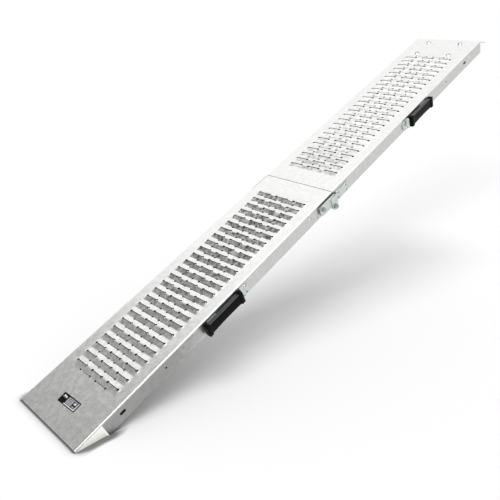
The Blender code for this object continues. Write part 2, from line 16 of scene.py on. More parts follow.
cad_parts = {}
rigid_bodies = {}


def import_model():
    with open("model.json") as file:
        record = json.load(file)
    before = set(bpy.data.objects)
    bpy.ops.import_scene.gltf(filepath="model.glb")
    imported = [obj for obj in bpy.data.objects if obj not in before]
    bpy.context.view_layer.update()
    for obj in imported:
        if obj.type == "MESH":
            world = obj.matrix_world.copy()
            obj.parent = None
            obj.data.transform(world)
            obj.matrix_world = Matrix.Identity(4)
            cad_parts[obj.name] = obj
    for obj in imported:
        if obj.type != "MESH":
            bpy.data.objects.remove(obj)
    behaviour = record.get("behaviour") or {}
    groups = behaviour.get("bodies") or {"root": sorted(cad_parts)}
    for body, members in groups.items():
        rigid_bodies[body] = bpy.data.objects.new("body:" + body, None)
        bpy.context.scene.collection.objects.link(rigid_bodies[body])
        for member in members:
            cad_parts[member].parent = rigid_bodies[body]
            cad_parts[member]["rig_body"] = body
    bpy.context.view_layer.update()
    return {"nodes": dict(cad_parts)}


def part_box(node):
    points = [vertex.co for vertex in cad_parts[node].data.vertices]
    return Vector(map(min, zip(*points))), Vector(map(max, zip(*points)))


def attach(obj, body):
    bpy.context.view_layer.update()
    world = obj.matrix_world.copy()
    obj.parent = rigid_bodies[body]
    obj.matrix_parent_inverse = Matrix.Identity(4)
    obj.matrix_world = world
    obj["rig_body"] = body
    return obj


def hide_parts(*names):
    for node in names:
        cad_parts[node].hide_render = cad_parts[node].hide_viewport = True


# ---------------------------------------------------------------- dimensions, in metres
INCLINE = math.radians(27.5)
SEAM_AT = (-0.0317066, 0.00095, 0.4565052)
WIDTH = 0.260
PLANK = 0.980
FLANGE = 0.044           # depth of the folded-down sides
SHEET = 0.002
BEND = 0.004             # outer radius of the bend between deck and sides
BEND_STEPS = 8
TIP = 0.0045             # depth of the lower plank's sides at its low end
SEAM = 0.0018            # gap between the planks
TINY = 1e-6              # points closer than this are the same

ROWS = 25
ROW_PITCH = 0.0308
FIRST_ROW = 0.083
RIDGE = 0.003
RIDGE_FULL = 0.077       # half width over which a ridge keeps its height
RIDGE_END = 0.097        # half width at which it has run out

# (middle, half length) of the three slots on a ridge's crest and of the two in a valley
THREE = [(-0.0685, 0.0245), (0.0, 0.0245), (0.0685, 0.0245)]
TWO = [(-0.03425, 0.02475), (0.03425, 0.02475)]
SLIT = 0.0013            # half width of a crest's slits, and of the strip where a row has none
TWO_SLIT = 0.0006        # half width of a valley's slits
THREE_HOLE = 0.0038      # radii of the round holes at the slits' ends
TWO_HOLE = 0.0033
# by kind of row: its slots, half width of their slits, radius of their holes
SLOTS = {"crest": (THREE, SLIT, THREE_HOLE), "valley": (TWO, TWO_SLIT, TWO_HOLE)}
TEETH = 8
TOOTH = 0.00475          # pitch of the teeth
TOOTH_TIP = 0.0013       # height of a tooth above the ridge
TOOTH_ROOT = 0.0001
TOOTH_JUT = 0.0011       # how far a tooth reaches into the slot
TOOTH_FOOT = 0.0040      # distance from the slot's middle to the foot of the teeth

# mesh lines along the plank, as distances inward from the slots' ends and outward from the middle
THREE_END_COLUMNS = (0.0, 0.0008, 0.0030, 0.0050)
TWO_END_COLUMNS = (0.0, 0.0008, 0.0027, 0.0046)
EDGE_COLUMNS = (0.029, 0.0345, 0.040, 0.0945, 0.0960, RIDGE_END, 0.104, 0.115, WIDTH / 2 - BEND)
LEAST_COLUMN = 0.0003    # lines closer than this are drawn as one
# mesh lines across it: distances from the seam, and from the middle of a crest or valley
SEAM_ROWS = (SEAM / 2, 0.020, 0.045, FIRST_ROW - ROW_PITCH / 2)
FAR_ROWS = (0.846, 0.854, 0.870, 0.886)
END_ROWS = (0.925, 0.945, 0.965, PLANK)
CREST_ROW = 0.0080
VALLEY_ROW = 0.0030

COLLAR = 0.0035          # how far the edges of slots and holes are turned in
SLOT_NARROW = 0.3        # width and length of a slot there, as shares of those on top
SLOT_SHORTER = 0.93
HOLE_NARROWING = 0.88    # share of the way to its middle that a side hole's edge is drawn in
PATCH = 0.004            # how far beyond a side hole the mesh is refilled

SIDE_LEVELS = [0.009, 0.015, 0.021, 0.027, 0.034, 0.040]     # mesh lines along a side, as depths
# holes in the sides, as distance from the seam and depth; the drain hole is in the lower plank
SIDE_SLOT = (0.850, 0.021)
SIDE_SLOT_LONG = 0.018
SIDE_SLOT_R = 0.0044
SIDE_HOLE = (0.708, 0.021)
SIDE_HOLE_R = 0.0030
DRAIN_HOLE = (0.083, 0.0345)
DRAIN_HOLE_R = 0.0022
TIP_LEAN = math.tan(math.radians(5))     # how far the sides' foot leans in beyond the crease
TIP_CREASE = (0.9035, 0.909)

GRIP = (0.437, 0.575)                    # from the seam
GRIP_NEAR, GRIP_FAR = 0.0050, 0.0185     # stand-off of the grip's back and front
GRIP_DEPTH = (0.0055, 0.0385)
GRIP_COLLAR = 0.013                      # length of a collar, and how far it stands out
COLLAR_PROUD = 0.0022
GRIP_WAIST = 0.0022
GRIP_CORNERS = (0.0030, 0.0012, 0.0030, 0.0030)
# shape of a collar's edge: (distance inward from its end, how far it stays below the collar)
COLLAR_EDGE = [(0.0, 0.0016), (0.0005, 0.0006), (0.0016, 0.0)]
COLLAR_FOOT = 0.0003     # how far a collar's foot stands out, where the waisted bar begins
BAR_STATIONS = (GRIP_COLLAR + 0.002, 0.030, 0.050)
# the strip along the bar's top is glossier and tinted teal-grey: painted shade of the zinc in the gap
# behind the grip
GLOSS_AND_SHADE_STRIP = 0.0013     # depth of the glossy strip along the bar's top

RIVET_R = 0.0024
RIVET_HEAD_HIGH = 0.0022
RIVET_OVERSIZE = 1.02    # of the visible head, against the plain one
RIVET_SIDES = 20
# the rivet head's middle is painted near-black as shade in its pit
PIT_SHADE_SHARE = 0.56               # radius of the dark middle, as a share of the head's
# a blind rivet's outline, as (share of the head's radius, distance): from the tail's end up,
# from the side of the ramp up over the dome, and from the face down into the middle
TAIL = [(0.55, 0.0), (0.70, 0.0008)]
TAIL_THICK = 0.0012
DOME = [(1.0, 0.0), (0.97, 0.0007), (0.86, 0.0015)]
FACE = [(0.74, 0.0001), (0.58, 0.0001), (0.52, 0.0010), (0.10, 0.0011)]

STICKER_SIZE = (0.070, 0.026, 0.00035)   # across the ramp, along it, thickness
STICKER_AT = (-0.912, -0.0025)
STICKER_TURN = math.radians(2.2)
STICKER_GAP = 0.0003
STICKER_CORNER = 0.0015
# (left, right, low, high) as shares of the film, and the tone printed there
STICKER_BLOCKS = [
    ((0.05, 0.30, 0.60, 0.68), 0.25), ((0.10, 0.17, 0.70, 0.84), 0.75), ((0.20, 0.27, 0.66, 0.80), 0.60),
    ((0.33, 0.95, 0.10, 0.16), 0.80), ((0.92, 0.95, 0.10, 0.88), 0.80), ((0.36, 0.68, 0.24, 0.76), 0.30),
    ((0.40, 0.64, 0.36, 0.41), 0.05), ((0.40, 0.64, 0.50, 0.55), 0.05), ((0.40, 0.58, 0.63, 0.68), 0.05),
    ((0.36, 0.88, 0.82, 0.86), 0.55), ((0.74, 0.86, 0.52, 0.74), 0.45), ((0.74, 0.88, 0.26, 0.34), 0.40),
]

# painted shade: how far a surface darkens along X, and its darker tones there
DECK_LOW_END_PAINTED_SHADE = ([(-0.75, 1.0), (-0.30, 0.0)], (0.68, 0.68, 0.665), (0.91, 0.91, 0.89))
SIDES_LOW_END_PAINTED_SHADE = ([(-0.85, 0.85), (-0.70, 1.0), (-0.60, 1.0), (-0.47, 0.0)],
              (0.31, 0.312, 0.305), (0.36, 0.362, 0.355))
TREAD_MIDDLE_PAINTED_SHADE = ([(-0.80, 0.0), (-0.50, 0.75), (-0.35, 1.0), (-0.05, 1.0), (0.02, 0.5), (0.20, 0.0)],
              (0.03, 0.033, 0.028), (0.80, 0.805, 0.780))

# places in a plank's list of materials; a sheet's far side is one on, its rim two on
OUTSIDE, PAINTED_EDGE_SHADE, PAINTED_TIP_REFLECTION, PAINTED_SIDES_SHADE, PAINTED_TREAD_SHADE = 0, 2, 5, 6, 7
# a face is taken for a side, the slanted tip or a down-slope tread facet by its normal; sides and
# down-slope facets then take painted shade, the tip a painted reflection
SIDE_FACING, TIP_FACING = 0.9, 0.7
TREAD_LEAN, TREAD_UP = -0.08, 0.5

FLOOR_HALF = 30.0
FLOOR_TONE = 0.81
# painted contact shadow: the floor darkens where the ramp all but touches it
CONTACT_SHADOW_TONE = 0.18
CONTACT_SHADOW_REACH = 0.024
CONTACT_SHADOW_RANGE = (0.84, 0.99)

# sky brightness by how far east (+X) one looks
SKY = [(-0.50, 0.28), (-0.14, 0.38), (-0.03, 1.12), (0.20, 1.08), (0.60, 0.96)]
# lights: name, direction, strength, spread in degrees
SUNS = [("overhead", (0.25, 0.03, -1.0), 1.20, 30), ("from_low_end", (3.8, 1.0, -1.0), 2.20, 16)]
SUN_GLINT = 0.35         # share of a light that shows in reflections

CAMERA_FROM_SEAM = (-1.3331, -1.0446, 0.4020)
CAMERA_TURN = (42.745, -20.612, 3.219)   # yaw, pitch and roll in degrees
CAMERA_LENS = 39.64
CAMERA_SENSOR = 36.0

RAMP = Matrix.Translation(SEAM_AT) @ Matrix.Rotation(-INCLINE, 4, "Y")


# ---------------------------------------------------------------- node helpers
def lay_points(ramp, points):
    """Sets a colour ramp to greys at the given (value, level) points, for values of -1 to 1."""
    while len(ramp.elements) < len(points):
        ramp.elements.new(0.5)
    for element, (value, level) in zip(ramp.elements, points):
        element.position = (value + 1) / 2
        element.color = (level, level, level, 1.0)


class Nodes:
    """Short ways to add and join the nodes of one material."""

    def __init__(self, name):
        self.material = bpy.data.materials.new(name)
        self.material.use_nodes = True
        self.tree = self.material.node_tree
        self.shader = self.tree.nodes["Principled BSDF"]
        self.coords = self.add("ShaderNodeTexCoord")

    def add(self, kind, inputs=None, **settings):
        """Makes a node, with values or links for its inputs."""
        node = self.tree.nodes.new(kind)
        for key, value in settings.items():
            setattr(node, key, value)
        for key, value in (inputs or {}).items():
            self.feed(node.inputs[key], value)
        return node

    def feed(self, socket, value):
        """Links another node's output to a socket, or gives it a plain value."""
        if isinstance(value, bpy.types.NodeSocket):
            self.tree.links.new(value, socket)
        else:
            socket.default_value = value

    def shade(self, **inputs):
        """Feeds the material's shader, by its inputs' names in small letters."""
        for key, value in inputs.items():
            socket = key.replace("_", " ").title().replace("Ior", "IOR")
            self.feed(self.shader.inputs[socket], value)

    def noise(self, scale, detail=4.0, roughness=0.55, vector=None):
        vector = vector or self.coords.outputs["Object"]
        return self.add("ShaderNodeTexNoise", {
            "Vector": vector, "Scale": scale, "Detail": detail, "Roughness": roughness,
        }).outputs["Fac"]

    def cells(self, scale, vector=None):
        """A pattern of cells, each of one level."""
        vector = vector or self.coords.outputs["Object"]
        node = self.add("ShaderNodeTexVoronoi", {"Vector": vector, "Scale": scale})
        return self.add("ShaderNodeSeparateColor", {"Color": node.outputs["Color"]}).outputs["Red"]

    def spread(self, value, low, high, start=0.0, end=1.0):
        """Maps start..end to low..high."""
        return self.add("ShaderNodeMapRange", {
            "Value": value, "From Min": start, "From Max": end, "To Min": low, "To Max": high,
        }).outputs["Result"]

    def curve(self, value, points):
        """Joins (value, result) points with straight lines, for values of -1 to 1."""
        node = self.add("ShaderNodeValToRGB", {"Fac": self.spread(value, 0.0, 1.0, -1.0, 1.0)})
        lay_points(node.color_ramp, points)
        return node.outputs["Color"]

    def math(self, operation, a, b=0.0):
        node = self.add("ShaderNodeMath", {0: a, 1: b}, operation=operation)
        return node.outputs[0]

    def tint(self, value, dark, light):
        """Colour between dark and light for a value of 0 to 1."""
        node = self.add("ShaderNodeMix", data_type="RGBA")
        self.feed(node.inputs["Factor"], value)
        self.feed(node.inputs["A"], (*dark, 1.0))
        self.feed(node.inputs["B"], (*light, 1.0))
        return node.outputs["Result"]

    def bump(self, height, distance, strength=1.0):
        node = self.add("ShaderNodeBump", {
            "Height": height, "Distance": distance, "Strength": strength,
        })
        self.feed(self.shader.inputs["Normal"], node.outputs["Normal"])


# ---------------------------------------------------------------- materials
def galvanised(name, dark, light, metallic, roughness, painted_shade=None):
    """Hot-dip zinc: small crystal flakes of slightly different grey, faint clouds over them.

    painted_shade is (shares, dark, light): another pair of tones that paints shade in, and how far they
    take over along X.
    """
    m = Nodes(name)
    drift = m.add("ShaderNodeTexNoise", {
        "Scale": 160.0, "Detail": 2.0, "Vector": m.coords.outputs["Object"]}).outputs["Color"]
    drift = m.add("ShaderNodeVectorMath", {0: drift, 1: (0.004, 0.004, 0.004)}, operation="MULTIPLY")
    place = m.add("ShaderNodeVectorMath", {0: drift.outputs[0], 1: m.coords.outputs["Object"]},
                  operation="ADD").outputs[0]
    large = m.cells(scale=170.0, vector=place)
    small = m.cells(scale=420.0, vector=place)
    flakes = m.math("ADD", m.math("MULTIPLY", large, 0.5), m.math("MULTIPLY", small, 0.5))
    clouds = m.spread(m.noise(scale=70.0, detail=5.0, roughness=0.65), 0.0, 1.0, start=0.40, end=0.60)
    tone = m.math("ADD", m.math("MULTIPLY", flakes, 0.4), m.math("MULTIPLY", clouds, 0.6))
    colour = m.tint(tone, dark, light)
    if painted_shade:
        shares, shade_dark, shade_light = painted_shade
        # the clouds fray the borders between the tones
        along = m.add("ShaderNodeSeparateXYZ", {"Vector": m.coords.outputs["Object"]}).outputs["X"]
        share = m.curve(m.math("ADD", along, m.math("MULTIPLY", clouds, 0.03)), shares)
        mixed = m.add("ShaderNodeMix", data_type="RGBA")
        m.feed(mixed.inputs["Factor"], share)
        m.feed(mixed.inputs["A"], colour)
        m.feed(mixed.inputs["B"], m.tint(tone, shade_dark, shade_light))
        colour = mixed.outputs["Result"]
    m.shade(base_color=colour,
            metallic=metallic,
            roughness=m.spread(flakes, roughness - 0.04, roughness + 0.04))
    m.bump(m.noise(scale=450.0, detail=3.0), distance=0.00003, strength=0.2)
    return m.material


def zinc(name, dark, light, roughness, metallic):
    """Bright zinc plating with a faint coloured haze and rubbed spots."""
    m = Nodes(name)
    haze = m.noise(scale=60.0, detail=4.0)
    rub = m.noise(scale=420.0, detail=3.0)
    m.shade(base_color=m.tint(m.spread(haze, 0.0, 1.0, start=0.3, end=0.7), dark, light),
            metallic=metallic,
            roughness=m.spread(rub, roughness - 0.07, roughness + 0.10, start=0.25, end=0.75))
    m.bump(rub, distance=0.00008, strength=0.5)
    return m.material


def dark_matt(name, dark, light, roughness, specular):
    """Black plastic, or the near-black painted shade of the sheet's edges: faint wear over a fine grain.
    """
    m = Nodes(name)
    grain = m.noise(scale=1400.0, detail=3.0)
    wear = m.noise(scale=35.0, detail=4.0)
    m.shade(base_color=m.tint(m.spread(wear, 0.0, 1.0, start=0.3, end=0.7), dark, light),
            roughness=m.spread(wear, roughness - 0.05, roughness + 0.05, start=0.3, end=0.7),
            specular_ior_level=specular)
    m.bump(grain, distance=0.00005, strength=0.4)
    return m.material


def floor_material():
    """Pale floor with a painted contact shadow: it darkens in the narrow gap under the ramp's edges."""
    m = Nodes("studio_floor")
    mottle = m.noise(scale=1.5, detail=2.0)
    # ambient occlusion near the ramp paints the contact shadow
    near = m.add("ShaderNodeAmbientOcclusion", {"Distance": CONTACT_SHADOW_REACH}, samples=16).outputs["AO"]
    painted_contact_shadow = m.spread(near, 0.0, 1.0, *CONTACT_SHADOW_RANGE)
    m.shade(base_color=m.tint(painted_contact_shadow, (CONTACT_SHADOW_TONE,) * 3, (FLOOR_TONE,) * 3),
            roughness=m.spread(mottle, 0.85, 0.95), specular_ior_level=0.0)
    return m.material


# ---------------------------------------------------------------- mesh helpers
def add_object(name, mesh, material=None):
    """Puts a mesh in the scene, with one material if it is given."""
    if material is not None:
        mesh.materials.clear()
        mesh.materials.append(material)
    made = bpy.data.objects.new(name, mesh)
    bpy.context.scene.collection.objects.link(made)
    return made


def smooth(mesh, degrees):
    """Smooth shading, except over edges sharper than this."""
    mesh.shade_smooth()
    mesh.set_sharp_from_angle(angle=math.radians(degrees))


def thicken(mesh, name, thickness):
    """Gives an open sheet its thickness on the side away from its normals.

    The far side takes the material one slot on, and the cut edges the one two slots on.
    """
    sheet = bpy.data.objects.new(name, mesh)
    bpy.context.scene.collection.objects.link(sheet)
    solid = sheet.modifiers.new("thickness", "SOLIDIFY")
    solid.thickness = thickness
    solid.offset = -1
    solid.material_offset = 1
    solid.material_offset_rim = 2
    bpy.context.view_layer.update()
    made = bpy.data.meshes.new_from_object(sheet.evaluated_get(bpy.context.evaluated_depsgraph_get()))
    bpy.data.objects.remove(sheet)
    made.name = name
    return made


# ---------------------------------------------------------------- pressed planks
def opening(y, slots, slit, hole):
    """Half width of the slit at y, or None between slots; its ends widen into round holes."""
    for middle, half in slots:
        off = abs(y - middle)
        if off < half - TINY:
            from_hole = off - (half - hole)
            round_part = math.sqrt(max(hole * hole - from_hole * from_hole, 0.0))
            return max(slit, round_part) if from_hole < 0 else round_part
        if off < half + TINY:
            return 0.0
    return None


def deck_columns():
    """Positions across the deck: tooth tips and roots, slot ends, and the ridges' run-out."""
    found = {0.0}
    for middle, half in THREE:
        for k in range(-TEETH, TEETH + 1):
            found.add(middle + k * TOOTH / 2)
        for inward in THREE_END_COLUMNS:
            found.update((middle - half + inward, middle + half - inward))
    for middle, half in TWO:
        for inward in TWO_END_COLUMNS:
            found.update((middle - half + inward, middle + half - inward))
    for edge in EDGE_COLUMNS:
        found.update((edge, -edge))
    merged = []
    for y in sorted(found):
        if not merged or y - merged[-1] >= LEAST_COLUMN:
            merged.append(y)
    return merged


def section():
    """Cross-section from the right foot to the left: (y, z, is it on the flat deck)."""
    deck = [(y, 0.0, True) for y in deck_columns()]
    centre = WIDTH / 2 - BEND
    side = []
    for i in range(1, BEND_STEPS + 1):
        a = math.pi / 2 * i / BEND_STEPS
        side.append((centre + BEND * math.sin(a), -BEND + BEND * math.cos(a), False))
    side += [(WIDTH / 2, -depth, False) for depth in [*SIDE_LEVELS, FLANGE]]
    return [(-y, z, flat) for y, z, flat in reversed(side)] + deck + side


def ridge_share(y):
    """1 over a ridge's full width, running out in a smooth curve at both ends."""
    t = (abs(y) - RIDGE_FULL) / (RIDGE_END - RIDGE_FULL)
    return math.cos(math.pi / 2 * min(max(t, 0.0), 1.0))


def is_tip(y):
    """Whether column y is the tip of a tooth (True), a root (False) or neither (None)."""
    for middle, _ in THREE:
        k = (y - middle) / (TOOTH / 2)
        if abs(k) < TEETH - 0.5 and abs(k - round(k)) < 0.15:
            return round(k) % 2 != 0
    return None


def wave(s):
    """Height of the tread's zigzag at distance s from the seam."""
    rise = FIRST_ROW - ROW_PITCH / 2
    if s <= rise or s >= FIRST_ROW + (ROWS - 0.5) * ROW_PITCH:
        return 0.0
    phase = ((s - rise) / ROW_PITCH) % 1.0
    return RIDGE * (1.0 - abs(2.0 * phase - 1.0))


def plank_rows(tapered):
    """Rows along the plank: (distance, kind, sign).

    A plain row has sign 0.  A crest or valley has two rows at the same distance, one for each
    edge of its slots: sign -1 is the edge nearer the seam, 1 the edge further from it.
    """
    rows = [(s, "plain", 0) for s in SEAM_ROWS]
    for k in range(ROWS):
        crest = FIRST_ROW + k * ROW_PITCH
        valley = crest + ROW_PITCH / 2
        rows += [
            (crest - CREST_ROW, "plain", 0), (crest - TOOTH_FOOT, "plain", 0),
            (crest, "crest", -1), (crest, "crest", 1), (crest + TOOTH_FOOT, "plain", 0),
            (crest + CREST_ROW, "plain", 0), (valley - VALLEY_ROW, "plain", 0),
            (valley, "valley", -1), (valley, "valley", 1), (valley + VALLEY_ROW, "plain", 0),
        ]
    rows += [(s, "plain", 0) for s in FAR_ROWS]
    if tapered:
        taper = PLANK - (FLANGE - TIP) / math.tan(INCLINE)
        rows += [(s, "plain", 0) for s in (taper, TIP_CREASE[1])]
    rows += [(s, "plain", 0) for s in END_ROWS]
    return rows


def slanted_side(distance, y, z):
    """A point of the lower plank's side, whose foot rises and leans in towards the tip."""
    bottom = min(FLANGE, TIP + (PLANK - distance) * math.tan(INCLINE))
    depth = BEND + (-z - BEND) * (bottom - BEND) / (FLANGE - BEND)
    lean = min(max((distance - TIP_CREASE[0]) / (TIP_CREASE[1] - TIP_CREASE[0]), 0.0), 1.0)
    return distance, math.copysign(abs(y) - lean * TIP_LEAN * (depth - BEND), y), -depth


def skin_point(row, spot, tapered):
    """(distance from the seam, y, z) where one spot of the cross-section meets a row."""
    distance, kind, sign = row
    y, z, flat = spot
    if not flat:
        distance += sign * SLIT
        return slanted_side(distance, y, z) if tapered and z < -BEND else (distance, y, z)
    if kind in SLOTS:
        half = opening(y, *SLOTS[kind])
        distance += sign * (SLIT if half is None else half)
    height = wave(distance) * ridge_share(y)
    tip = is_tip(y) if kind == "crest" and sign > 0 else None
    if tip is not None:
        height += TOOTH_TIP if tip else TOOTH_ROOT
        distance -= TOOTH_JUT if tip else 0.0
    return distance, y, height


def skin(direction):
    """Outer surface of one plank in the ramp's frame; direction -1 is the lower plank."""
    tapered = direction < 0
    across = section()
    rows = plank_rows(tapered)
    bm = bmesh.new()
    grid = []
    for row in rows:
        line = []
        for spot in across:
            distance, y, z = skin_point(row, spot, tapered)
            line.append(bm.verts.new((direction * distance, y, z)))
        grid.append(line)
    for (_, kind, sign), first, second in zip(rows, grid, grid[1:]):
        slots = SLOTS[kind][0] if sign < 0 else []
        for j, (right, left) in enumerate(zip(across, across[1:])):
            middle = (right[0] + left[0]) / 2
            on_deck = right[2] and left[2]
            if on_deck and any(abs(middle - m) < half for m, half in slots):
                continue
            bm.faces.new((first[j], second[j], second[j + 1], first[j + 1]))
    bmesh.ops.remove_doubles(bm, verts=bm.verts[:], dist=TINY)
    if direction < 0:
        bmesh.ops.reverse_faces(bm, faces=bm.faces[:])
    bm.normal_update()
    return bm


def turn_in(bm, edges, inward, narrow):
    """Turns the edges of slots and holes in; narrow(point) is the point's place at the far end."""
    made = bmesh.ops.extrude_edge_only(bm, edges=edges)["geom"]
    for part in made:
        if isinstance(part, bmesh.types.BMVert):
            part.co = narrow(part.co) + Vector(inward)
        elif isinstance(part, bmesh.types.BMFace):
            # the turned-in faces take the near-black painted shade that keeps the slots and holes dark
            part.material_index = PAINTED_EDGE_SHADE


def slot_edges(bm):
    """Edges round the slots, without those round the plank."""
    found = []
    for edge in bm.edges:
        middle = (edge.verts[0].co + edge.verts[1].co) / 2
        if edge.is_boundary and abs(middle.y) < RIDGE_END and SEAM < abs(middle.x) < PLANK - SEAM:
            found.append(edge)
    return found


def narrow_slot(point):
    """Draws a point on a slot's edge in towards the middle of its slot."""
    half_rows = round((abs(point.x) - FIRST_ROW) / (ROW_PITCH / 2))
    line = math.copysign(FIRST_ROW + half_rows * ROW_PITCH / 2, point.x)
    slots = SLOTS["valley" if half_rows % 2 else "crest"][0]
    middle = min((m for m, _ in slots), key=lambda m: abs(point.y - m))
    x = line + (point.x - line) * SLOT_NARROW
    return Vector((x, middle + (point.y - middle) * SLOT_SHORTER, point.z))


def stadium(x, z, radius, long, steps=8):
    """Outline of an oval or round hole in (x, z)."""
    reach = max(long / 2 - radius, 0.0)
    points = []
    for end, start in ((reach, -90), (-reach, 90)):
        for i in range(steps + 1):
            a = math.radians(start + 180 * i / steps)
            points.append((x + end + radius * math.cos(a), z + radius * math.sin(a)))
    if reach == 0.0:
        del points[-1]
        del points[steps]
    return points


def punch(bm, side, x, z, radius, long):
    """A hole through the flat of one side: its faces are refilled round the hole's outline."""
    y = side * WIDTH / 2
    gone = set()
    for face in bm.faces:
        c = face.calc_center_median()
        on_side = abs(c.y - y) < 10 * TINY
        if on_side and abs(c.x - x) < long / 2 + PATCH and abs(c.z - z) < radius + PATCH:
            gone.add(face)
    edges = [e for e in bm.edges if any(f in gone for f in e.link_faces)]
    rim = [e for e in edges if sum(f in gone for f in e.link_faces) == 1]
    inner = [e for e in edges if e not in rim]
    bmesh.ops.delete(bm, geom=[f for f in bm.faces if f in gone], context="FACES_ONLY")
    bmesh.ops.delete(bm, geom=inner, context="EDGES")
    loop = [bm.verts.new((px, y, pz)) for px, pz in stadium(x, z, radius, long)]
    ring = [bm.edges.new((a, b)) for a, b in zip(loop, loop[1:] + loop[:1])]
    made = bmesh.ops.triangle_fill(bm, use_beauty=True, use_dissolve=False, edges=rim + ring,
                                   normal=(0, side, 0))["geom"]
    faces = [f for f in made if isinstance(f, bmesh.types.BMFace)]
    bm.normal_update()
    bmesh.ops.reverse_faces(bm, faces=[f for f in faces if f.normal.y * side < 0])
    centre = Vector((x, y, z))
    turn_in(bm, ring, (0, -side * COLLAR, 0), lambda at: at.lerp(centre, HOLE_NARROWING))


def place_in_materials(face, tapered):
    """Which of the plank's materials a face of the finished sheet has."""
    at, normal = face.center, face.normal
    if tapered and at.x < -TIP_CREASE[0] and abs(normal.y) > TIP_FACING:
        outer = abs(at.y) > WIDTH / 2 - SHEET / 2 + at.z * TIP_LEAN
        return PAINTED_TIP_REFLECTION if outer and at.z < -BEND else face.material_index
    if face.material_index == OUTSIDE:
        if abs(normal.y) > SIDE_FACING:
            return PAINTED_SIDES_SHADE
        if normal.x < TREAD_LEAN and normal.z > TREAD_UP:
            return PAINTED_TREAD_SHADE
    return face.material_index


def make_plank(name, body, direction, steels):
    """One pressed plank, in place of its plain deck."""
    bm = skin(direction)
    for side in (-1, 1):
        punch(bm, side, direction * SIDE_SLOT[0], -SIDE_SLOT[1], SIDE_SLOT_R, SIDE_SLOT_LONG)
        punch(bm, side, direction * SIDE_HOLE[0], -SIDE_HOLE[1], SIDE_HOLE_R, 2 * SIDE_HOLE_R)
        if direction < 0:
            punch(bm, side, -DRAIN_HOLE[0], -DRAIN_HOLE[1], DRAIN_HOLE_R, 2 * DRAIN_HOLE_R)
    turn_in(bm, slot_edges(bm), (0, 0, -COLLAR), narrow_slot)
    loose = [v for v in bm.verts if not v.link_faces]
    bmesh.ops.delete(bm, geom=loose, context="VERTS")
    data = bpy.data.meshes.new(name)
    bm.to_mesh(data)
    bm.free()
    for steel in steels:
        data.materials.append(steel)
    data = thicken(data, name, SHEET)
    for face in data.polygons:
        face.material_index = place_in_materials(face, direction < 0)
    data.transform(RAMP)
    smooth(data, degrees=16)
    plank = add_object(name, data)
    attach(plank, body)
    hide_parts("lower_deck" if direction < 0 else "upper_deck")


# ---------------------------------------------------------------- handles, rivets, label
def loft(name, loops, material):
    """A closed body through loops of points, capped at both ends."""
    bm = bmesh.new()
    rings = [[bm.verts.new(p) for p in loop] for loop in loops]
    count = len(rings[0])
    for first, second in zip(rings, rings[1:]):
        for i in range(count):
            j = (i + 1) % count
            bm.faces.new((first[i], first[j], second[j], second[i]))
    bm.faces.new(rings[0])
    bm.faces.new(rings[-1])
    bmesh.ops.recalc_face_normals(bm, faces=bm.faces[:])
    data = bpy.data.meshes.new(name)
    bm.to_mesh(data)
    bm.free()
    return add_object(name, data, material)


def rounded_box(half_y, half_z, corners, steps=4):
    """Outline of a rectangle in (y, z); corners are its radii from +y+z round to +y-z."""
    points = []
    places = ((1, 1, 0), (-1, 1, 90), (-1, -1, 180), (1, -1, 270))
    for corner, (sy, sz, start) in zip(corners, places):
        for i in range(steps + 1):
            a = math.radians(start + 90 * i / steps)
            points.append((sy * (half_y - corner) + corner * math.cos(a),
                           sz * (half_z - corner) + corner * math.sin(a)))
    return points


def make_grip(name, body, direction, material, gloss_and_painted_shade):
    """A moulded bar, thicker at its two collars and slightly waisted on its lower side."""
    start, end = GRIP
    middle_y = -(WIDTH / 2 + (GRIP_NEAR + GRIP_FAR) / 2)
    middle_z = -(GRIP_DEPTH[0] + GRIP_DEPTH[1]) / 2
    half_y = (GRIP_FAR - GRIP_NEAR) / 2
    half_z = (GRIP_DEPTH[1] - GRIP_DEPTH[0]) / 2
    stations = [(at, COLLAR_PROUD - below) for at, below in COLLAR_EDGE]
    stations += [(GRIP_COLLAR - at, COLLAR_PROUD - below) for at, below in COLLAR_EDGE[:0:-1]]
    stations += [(GRIP_COLLAR, COLLAR_FOOT), *[(at, 0.0) for at in BAR_STATIONS]]
    length = end - start
    stations += [(length - at, proud) for at, proud in reversed(stations)]
    loops = []
    for at, proud in stations:
        waisted = proud <= COLLAR_FOOT
        waist = GRIP_WAIST * math.sin(math.pi * at / length) ** 2 if waisted else 0.0
        loop = []
        for y, z in rounded_box(half_y + proud, half_z + proud, GRIP_CORNERS):
            lifted = z + waist if z < 0 else z
            loop.append(RAMP @ Vector((direction * (start + at), middle_y + y, middle_z + lifted)))
        loops.append(loop)
    grip = loft(name, loops, material)
    # the strip along the bar's top takes a glossier plastic tinted teal-grey as painted shade
    grip.data.materials.append(gloss_and_painted_shade)
    for polygon in grip.data.polygons:
        at = RAMP.inverted() @ polygon.center
        on_bar = start + GRIP_COLLAR < abs(at.x) < end - GRIP_COLLAR
        if on_bar and at.z > -GRIP_DEPTH[0] - GLOSS_AND_SHADE_STRIP:
            polygon.material_index = 1
    smooth(grip.data, degrees=35)
    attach(grip, body)
    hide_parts("lower_handle_grip" if direction < 0 else "upper_handle_grip")


